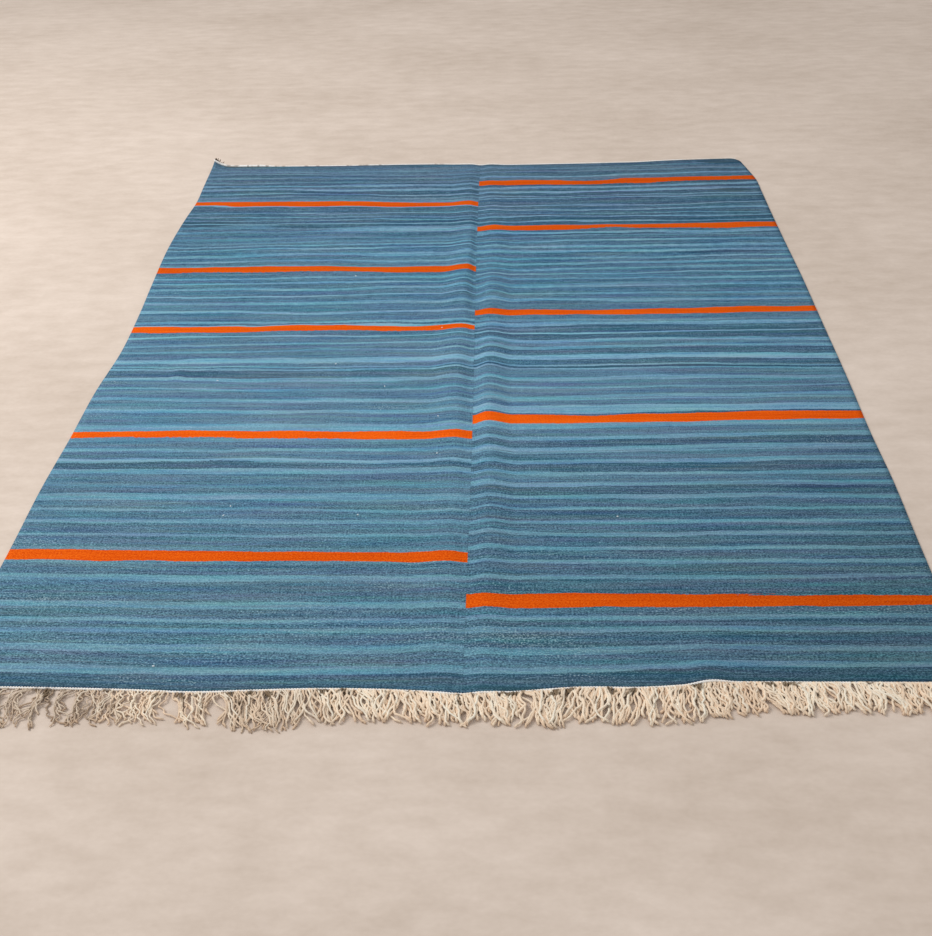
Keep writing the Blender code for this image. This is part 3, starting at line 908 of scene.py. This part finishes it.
def fringePaths():
    rng = np.random.default_rng(fringe["seed"])
    edgeAcross, edgeUp = clothEnd(0.0, 600)
    place = np.linspace(edgeAcross[0] + 0.003, edgeAcross[-1] - 0.003, fringe["strands"])
    place = place + rng.uniform(-0.0015, 0.0015, len(place))
    place = place[rng.uniform(0.0, 1.0, len(place)) < readTable(locks, "across", "fill", place)]
    count, stations = len(place), fringe["sections"] + 1
    share = np.linspace(0.0, 1.0, stations)[None, :]
    look = {name: readTable(locks, "across", name, place) for name in locks[0]._fields[1:]}
    level = rng.uniform(0.0, 1.0, count)         # 0 lies on the floor, 1 on top of the others
    reach = look["reach"] * (0.55 + 0.50 * rng.uniform(0.0, 1.0, count) ** 0.6)
    heading = np.arctan(look["lean"] + rng.normal(0.0, 0.16, count))[:, None]
    heading = heading + strandHeading(rng, count, share, look["curl"])
    heading = 1.35 * np.tanh(heading / 1.35)
    run = np.cumsum(np.cos(heading), axis=1)
    drift = np.cumsum(np.sin(heading), axis=1)
    run, drift = run - run[:, :1], drift - drift[:, :1]
    scale = reach / np.maximum(run.max(axis=1), 0.68 * fringe["sections"])
    forward = run * scale[:, None]
    across = place[:, None] + drift * scale[:, None]

    # tips gather in tufts, and strands stand clear of the partings
    tip = across[:, -1]
    nearest = np.array(tufts)[np.abs(tip[:, None] - np.array(tufts)[None, :]).argmin(axis=1)]
    pull = (nearest - tip) * rng.uniform(0.0, 0.45, count)
    across = across + pull[:, None] * share ** 1.6
    for parting in partings:
        off = across - parting.across
        span = np.clip((share - parting.start) / (parting.finish - parting.start), 0.0, 1.0)
        half = parting.half * np.sin(np.pi * span) ** 0.6
        side = np.where(across[:, 8:9] < parting.across, -1.0, 1.0)
        across = across + side * (np.sqrt(off ** 2 + half ** 2) - np.abs(off)) * (np.abs(off) < 0.06)

    edge = np.interp(place, edgeAcross, edgeUp)
    half = fringe["thick"] / 2.0 * look["thick"] * rng.uniform(0.85, 1.15, count)
    hump = np.sin(np.pi * np.clip(0.06 + share * 0.98, 0.0, 1.0)) ** 0.55
    wave = np.sin(share * rng.uniform(6.0, 15.0, count)[:, None] + rng.uniform(0.0, 6.0, count)[:, None])
    girth = np.interp(share, (0.0, 0.06, 0.88, 0.95, 1.0), (0.80, 1.0, 1.0, 1.22, 0.70))
    girth = girth * (1.0 + 0.08 * np.sin(share * rng.uniform(8.0, 20.0, count)[:, None] + place[:, None] * 90))
    radius = half[:, None] * girth
    height = radius + level[:, None] * fringe["pile"] * hump + 0.0010 * (1.0 + wave)
    root = clothLift(place, edge) + 0.0022
    drop = np.clip(1.0 - share * 7.0, 0.0, 1.0) ** 1.5
    height = np.maximum(height * (1.0 - drop) + root[:, None] * drop, radius + 0.0001)
    paths = np.stack([across, edge[:, None] - 0.0010 - forward + lie["nearEnd"], height], 2)
    # strands lower in the pile get a darker tone: painted shade under the strands above; the random spread is
    # the yarn's own tone
    tone = 0.35 + 0.35 * level + rng.uniform(-0.3, 0.3, count)
    return paths, radius, reach, look["dirt"], tone, place


def cottonMaterial(name, clean, soiledAndShaded, rootShadeAndSoil):
    material, tree, shader = newMaterial(name, 0.95, 0.0)
    dirt = newNode(tree, "Attribute", {"attribute_name": "dirt"}).outputs["Fac"]
    tone = newNode(tree, "Attribute", {"attribute_name": "tone"}).outputs["Fac"]
    uv = newNode(tree, "UVMap", {"uv_map": "yarn"}).outputs[0]
    place = newNode(tree, "TexCoord").outputs["Object"]
    along = newNode(tree, "SeparateXYZ", None, {0: uv}).outputs[1]
    soil = swing(tree, noise(tree, scaled(tree, place, (45.0, 45.0, 45.0)), 4.0), 1.1)
    # soiling, and painted shade on some strands, blend towards the greyer colours
    soilAndShade = clamp(tree, add(tree, dirt, soil))
    fresh = ramp(tree, tone, [(share, linear(color)) for share, color in zip((0.0, 0.5, 1.0), clean)])
    grey = ramp(tree, tone, [(share, linear(color)) for share, color in zip((0.0, 0.5, 1.0), soiledAndShaded)])
    color = mixColor(tree, soilAndShade, fresh, grey)
    tip = times(tree, calc(tree, "GREATER_THAN", along, 0.90), 0.25)
    color = mixColor(tree, tip, color, linear((206, 168, 130)))
    # painted shadow and soiling: dark brown spots near the roots, just under the cord
    rootShadeAndSoilMask = noise(tree, scaled(tree, place, (42.0, 34.0, 0.0), (2.0, 5.0, 0.0)), 3.0)
    rootShadeAndSoilMask = minus(tree, times(tree, minus(tree, rootShadeAndSoilMask, 0.495), 15.0), times(tree, along, 4.2))
    color = mixColor(tree, times(tree, clamp(tree, rootShadeAndSoilMask), rootShadeAndSoil), color, linear((100, 80, 54)))
    fiber = noise(tree, scaled(tree, place, (900.0, 300.0, 900.0)), 3.0)
    color = mixColor(tree, times(tree, fiber, 0.22), color, linear((150, 124, 98)), "MULTIPLY")
    tree.links.new(color, shader.inputs["Base Color"])
    bump = newNode(tree, "Bump", None, {"Strength": 0.6, "Distance": 0.0004, "Height": fiber})
    tree.links.new(bump.outputs[0], shader.inputs["Normal"])
    return material


def makeFringe(material):
    paths, radius, reach, dirt, tone, place = fringePaths()
    share = np.linspace(0.0, 1.0, fringe["sections"] + 1)[None, :]
    twist = reach[:, None] * share / fringe["twistPitch"] * 2.0 * math.pi + place[:, None] * 300
    pieces = []
    bounds = (-9.0, -0.45, 0.20, 9.0)
    for index, name in enumerate(("fringeLeft", "fringeMiddle", "fringeRight")):
        here = (place > bounds[index]) & (place <= bounds[index + 1])
        pieces.append(tubesAlong(
            name, paths[here], radius[here], twist[here], fringe["plies"], fringe["pinch"],
            fringe["sidesRound"], material, dirt[here], tone[here],
        ))
    return pieces


# twined end cords

nearCord = {
    "plyRadius": 0.00160, "turnRadius": 0.00120, "pitch": 0.0112,
    "stepsInATurn": 10, "sidesRound": 6, "fullness": 0.0,
}
farCord = {
    "plyRadius": 0.00170, "turnRadius": 0.00110, "pitch": 0.0110,
    "stepsInATurn": 8, "sidesRound": 5, "fullness": 0.75,      # how much thicker the left end is
}


def makeCord(name, row, outward, sizes, material):
    # two plies that turn about each other along an end of the cloth
    edgeAcross, edgeUp = clothEnd(row, 900)
    length = edgeAcross[-1] - edgeAcross[0]
    turns = length / sizes["pitch"]
    stations = int(turns * sizes["stepsInATurn"]) + 1
    across = np.linspace(edgeAcross[0], edgeAcross[-1], stations)
    up = np.interp(across, edgeAcross, edgeUp)
    full = 1.0 + sizes["fullness"] * np.clip((-0.76 - across) / 0.06, 0.0, 1.0)     # fuller towards the left end
    out = (sizes["plyRadius"] + sizes["turnRadius"]) * full + 0.0002
    lift = clothLift(across, up) + out
    turn = across / sizes["pitch"] * 2.0 * math.pi
    paths = []
    for ply in range(2):
        angle = turn + ply * math.pi
        y = up + outward * out + sizes["turnRadius"] * full * np.cos(angle) + lie["nearEnd"]
        paths.append(np.stack([curlIn(across, up), y, lift + sizes["turnRadius"] * full * np.sin(angle)], 1))
    paths = np.array(paths)
    radius = sizes["plyRadius"] * np.stack([full, full])
    twist = np.zeros(paths.shape[:2])
    sidesRound, dirt, tone = sizes["sidesRound"], (0.02, 0.02), (0.95, 0.90)
    return tubesAlong(name, paths, radius, twist, 1, 0.0, sidesRound, material, dirt, tone)


# far warp ends

farEnds = {
    "strands": 230, "cornerStrands": 16, "sections": 8, "sidesRound": 5, "thick": 0.0026, "seed": 8,
    "standAcross": -0.950,
}


def makeFarEnds(material):
    rng = np.random.default_rng(farEnds["seed"])
    share = np.linspace(0.0, 1.0, farEnds["sections"] + 1)[None, :]
    edgeAcross, edgeUp = clothEnd(1.0, 600)
    place = np.sort(rng.uniform(edgeAcross[0] + 0.003, edgeAcross[-1] - 0.003, farEnds["strands"]))
    place = np.concatenate([edgeAcross[0] + rng.uniform(0.002, 0.030, farEnds["cornerStrands"]), place])
    count = len(place)
    bunched = np.zeros(count)
    for middle, half in ((-0.985, 0.024), (-0.82, 0.020), (-0.74, 0.022), (-0.56, 0.020), (0.275, 0.030)):
        bunched += np.exp(-((place - middle) / half) ** 2)
    reach = rng.uniform(0.0015, 0.0045, count) + bunched * rng.uniform(0.003, 0.011, count)
    rise = np.clip((farEnds["standAcross"] - place) / 0.03, 0.0, 1.0)     # they stand up at the curled corner
    reach = reach + rise * 0.003
    lean = rng.normal(0.1, 0.5, count)
    edge = np.interp(place, edgeAcross, edgeUp)
    root = clothLift(place, edge)
    half = farEnds["thick"] / 2.0
    run = reach[:, None] * share
    slope = (1.35 * rise - 0.5)[:, None]
    height = np.maximum(root[:, None] + 0.0018 + run * slope, half) * np.ones_like(share)
    y = edge[:, None] + 0.0035 + run + lie["nearEnd"]
    paths = np.stack([curlIn(place, edge)[:, None] + lean[:, None] * run, y, height], 2)
    radius = half * np.clip((1.0 - share) * 5.0, 0.25, 1.0) * np.ones((count, 1))
    twist = np.zeros(paths.shape[:2])
    # the tufts and the strands at the curled corner are darker: partly soiling, partly painted shade
    dirt = np.clip(0.10 + bunched * 0.8, 0.0, 1.2) + rise
    tone = rng.uniform(0.0, 1.0, count) - rise
    sidesRound = farEnds["sidesRound"]
    return tubesAlong("farWarpEnds", paths, radius, twist, 1, 0.0, sidesRound, material, dirt, tone)


# slubs: little knots of undyed yarn that stand on the weave

slubs = table(
    "across up length",
    (-0.590, 0.045, 0.0060),
    (-0.545, 0.497, 0.0055),
    (-0.535, 0.530, 0.0045),
    (-0.235, 0.498, 0.0055),
    (0.355, 0.490, 0.0050),
    (-0.065, 0.725, 0.0055),
    (-0.070, 0.880, 0.0050),
    (-0.677, 1.055, 0.0060),
    (-0.365, 1.135, 0.0060),
    (-0.220, 1.022, 0.0050),
    (-0.365, 1.640, 0.0060),
    (-0.080, 1.320, 0.0050),
)


def slubMaterial():
    material, tree, shader = newMaterial("slubWool", 0.95, 0.0)
    place = newNode(tree, "TexCoord").outputs["Object"]
    fuzz = noise(tree, scaled(tree, place, (700.0, 700.0, 700.0)), 3.0)
    color = ramp(tree, fuzz, [(0.3, linear((176, 196, 208))), (0.7, linear((236, 242, 246)))])
    tree.links.new(color, shader.inputs["Base Color"])
    return material


def makeSlubs(material):
    bm = bmesh.new()
    for index, slub in enumerate(slubs):
        turn = Matrix.Rotation(index * 0.9, 4, "Z") @ Matrix.Diagonal((slub.length / 2.0, 0.0018, 0.0014, 1.0))
        top = clothLift(slub.across, slub.up) + lie["thickness"] + 0.0010
        place = Matrix.Translation((slub.across, slub.up + lie["nearEnd"], float(top)))
        bmesh.ops.create_icosphere(bm, subdivisions=2, radius=1.0, matrix=place @ turn)
    piece = meshPiece("slubs", bm, material)
    piece.data.shade_smooth()
    return piece


# camera, floor and light

view = {
    "across": 0.10976,
    "up": -1.34588,
    "height": 1.59570,
    "yaw": -2.90644,
    "pitch": 38.278,
    "roll": -2.06146,
    "lens": 41.166,
}


def makeCamera():
    yaw, pitch, roll = (math.radians(view[key]) for key in ("yaw", "pitch", "roll"))
    ahead = Vector((math.sin(yaw) * math.cos(pitch), math.cos(yaw) * math.cos(pitch), -math.sin(pitch)))
    right = Vector((math.cos(yaw), -math.sin(yaw), 0.0))
    above = right.cross(ahead)
    turnedRight = right * math.cos(roll) + above * math.sin(roll)
    turnedAbove = above * math.cos(roll) - right * math.sin(roll)
    data = bpy.data.cameras.new("camera")
    data.sensor_width = 36.0
    data.lens = view["lens"]
    data.clip_end = 60.0
    camera = bpy.data.objects.new("camera", data)
    turn = Matrix((turnedRight, turnedAbove, -ahead)).transposed().to_4x4()
    spot = Vector((view["across"], view["up"] + lie["nearEnd"], view["height"]))
    camera.matrix_world = Matrix.Translation(spot) @ turn
    bpy.context.scene.collection.objects.link(camera)
    bpy.context.scene.camera = camera


def makeFloor():
    material, tree, shader = newMaterial("paleFloor", 0.85, 0.0)
    place = newNode(tree, "TexCoord").outputs["Object"]
    cloudy = noise(tree, scaled(tree, place, (1.3, 2.2, 1.6)), 3.0)
    fine = noise(tree, scaled(tree, place, (11.0, 26.0, 14.0)), 4.0)
    grit = noise(tree, scaled(tree, place, (70.0, 110.0, 70.0)), 2.0)
    blend = add(tree, times(tree, cloudy, 0.45), times(tree, fine, 0.40), times(tree, grit, 0.15))
    color = ramp(tree, blend, [(0.3, linear((200, 184, 170))), (0.7, linear((228, 213, 201)))])
    tree.links.new(color, shader.inputs["Base Color"])
    bm = bmesh.new()
    bmesh.ops.create_grid(bm, x_segments=1, y_segments=1, size=12.0)
    floor = meshPiece("floor", bm, material)
    return floor


def makeLight(name, spot, target, size, power, color):
    data = bpy.data.lights.new(name, "AREA")
    data.shape = "DISK"
    data.size = size
    data.energy = power
    data.color = color
    light = bpy.data.objects.new(name, data)
    light.location = spot
    light.rotation_euler = (Vector(target) - Vector(spot)).to_track_quat("-Z", "Y").to_euler()
    bpy.context.scene.collection.objects.link(light)


def makeLights():
    makeLight("window", (-3.7, 0.3, 4.2), (0.0, 0.0, 0.0), 3.0, 172.0, (1.0, 0.985, 0.965))
    world = bpy.data.worlds.new("room")
    world.use_nodes = True
    world.node_tree.nodes["Background"].inputs[0].default_value = (1.0, 0.99, 0.98, 1.0)
    world.node_tree.nodes["Background"].inputs[1].default_value = 0.605
    bpy.context.scene.world = world
    bpy.context.scene.view_settings.view_transform = "Standard"


# build

makeCamera()
floor = makeFloor()
makeLights()
wool = kilimMaterial()
cotton = cottonMaterial(
    "fringeCotton",
    ((240, 211, 183), (255, 234, 209), (255, 249, 233)), ((144, 126, 108), (190, 171, 152), (226, 210, 192)),
    0.84,
)
farCotton = cottonMaterial(
    "farCotton",
    ((236, 214, 190), (252, 238, 220), (255, 250, 240)), ((92, 74, 58), (136, 116, 96), (190, 172, 150)),
    0.25,
)
twine = cottonMaterial(
    "twinedCotton",
    ((236, 232, 224), (248, 246, 242), (255, 255, 254)), ((176, 160, 138), (200, 186, 164), (222, 210, 192)),
    0.50,
)
kilimCloth = makeCloth(wool)
fringePieces = makeFringe(cotton)
nearTwine = makeCord("nearTwine", 0.0, -1.0, nearCord, twine)
farTwine = makeCord("farTwine", 1.0, 1.0, farCord, twine)
farWarpEnds = makeFarEnds(farCotton)
slubTufts = makeSlubs(slubMaterial())

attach(kilimCloth, "root")
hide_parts("kilim_cloth")
for piece in fringePieces:
    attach(piece, "root")
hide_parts("near_fringe")
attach(nearTwine, "root")
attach(farTwine, "root")
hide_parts("far_fringe")
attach(farWarpEnds, "root")
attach(slubTufts, "root")

print("pieces ready")
